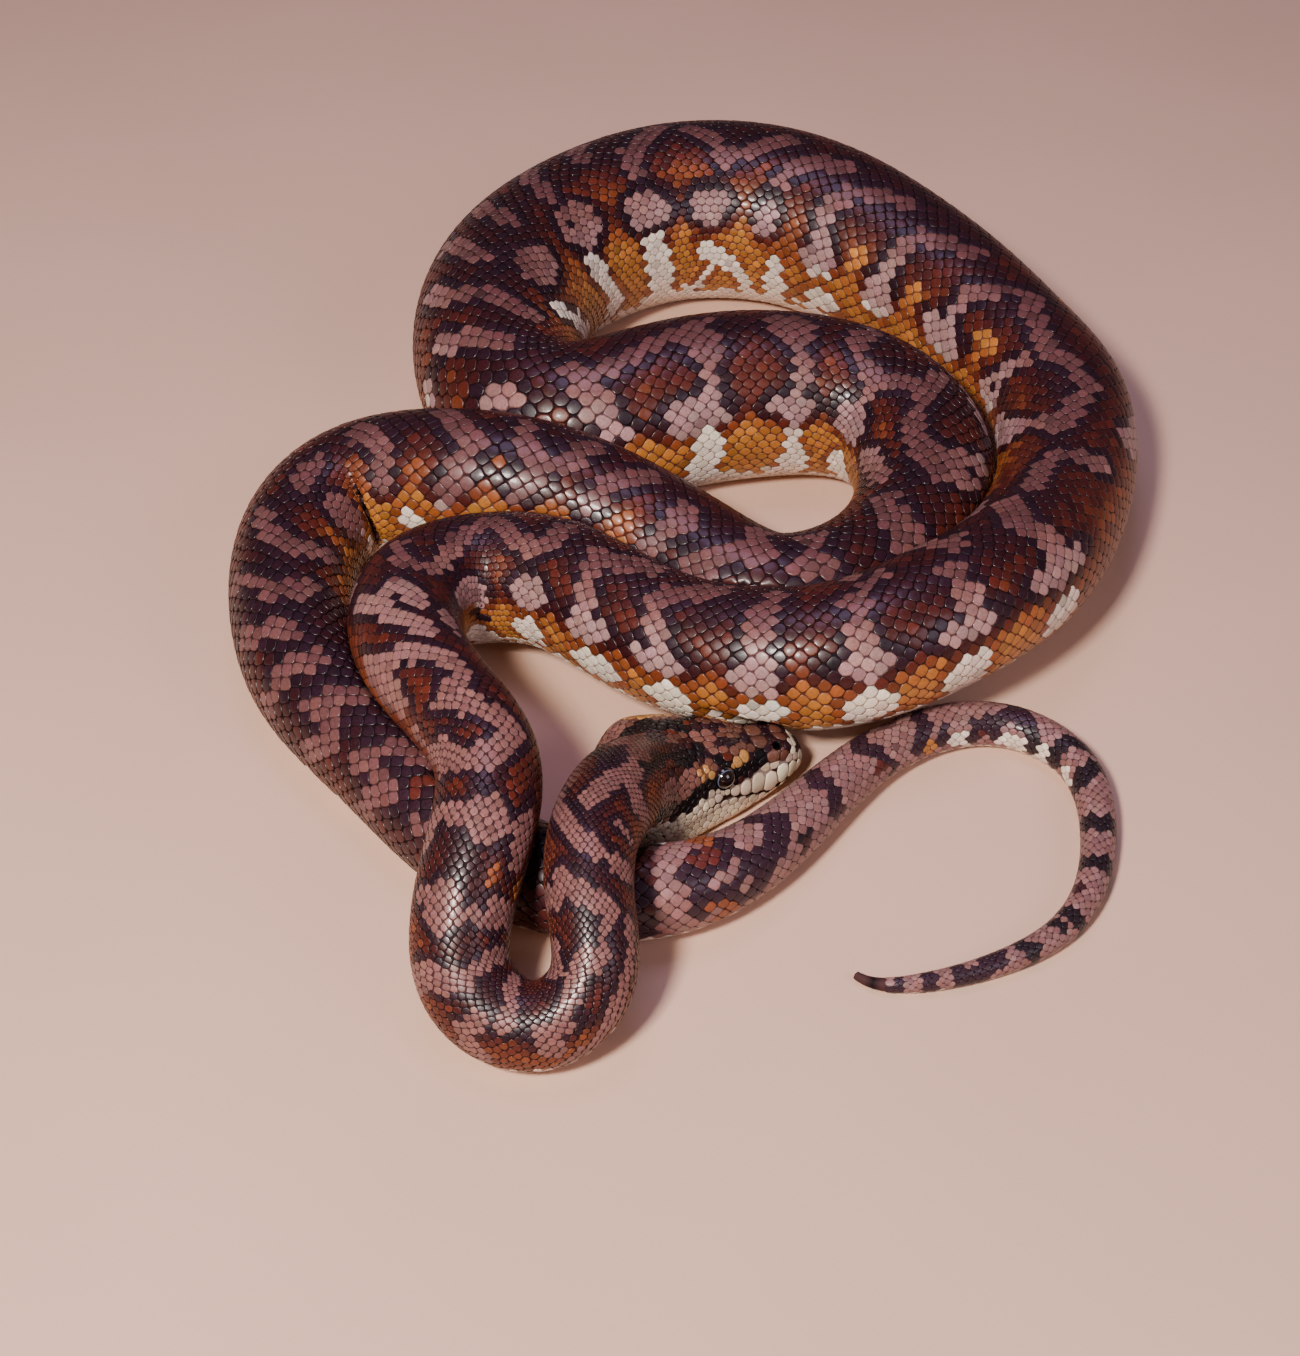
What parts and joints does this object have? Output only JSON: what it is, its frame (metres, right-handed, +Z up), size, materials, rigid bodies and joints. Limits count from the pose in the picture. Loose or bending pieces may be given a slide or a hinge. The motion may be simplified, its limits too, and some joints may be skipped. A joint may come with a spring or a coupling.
{
  "type": "coiled carpet python",
  "caption": "Still life-size model of an adult carpet python lying in loose overlapping coils on flat ground, its neck looped over its own back and its thin tail curled beside the head.",
  "frame": {"origin": "middle of the bounding box at floor level", "axes": "+Z up from the floor; +Y across the coil from the tail loop to the far coil, the longest extent; +X across, the way the snout points"},
  "size_m": [0.3188, 0.4571, 0.0684],
  "materials": {
    "crown_scales": "satin dark brown head scales with tan and rust patches",
    "lip_scales": "smooth cream lip and throat scales",
    "eye": "wet glossy black eye",
    "neck_scales": "fine satin scales, dark brown with pale blotches",
    "body_scales": "satin overlapping scales, dark brown, rust and golden with pale blotches",
    "tail_scales": "satin scales, dark brown with pale bands"
  },
  "bodies": {
    "root": {"eye_left": "eye", "eye_right": "eye", "head_upper": "crown_scales", "lower_jaw": "lip_scales", "neck_front": "neck_scales", "neck_bend": "neck_scales", "neck_rear": "neck_scales", "trunk_01": "body_scales", "trunk_02": "body_scales", "trunk_03": "body_scales", "trunk_04": "body_scales", "trunk_05": "body_scales", "trunk_06": "body_scales", "trunk_07": "body_scales", "trunk_08": "body_scales", "trunk_09": "body_scales", "trunk_10": "body_scales", "trunk_11": "body_scales", "trunk_12": "body_scales", "trunk_13": "body_scales", "trunk_14": "body_scales", "trunk_15": "body_scales", "trunk_16": "body_scales", "tail_1": "tail_scales", "tail_2": "tail_scales", "tail_3": "tail_scales", "tail_tip": "tail_scales"}
  },
  "joints": []
}
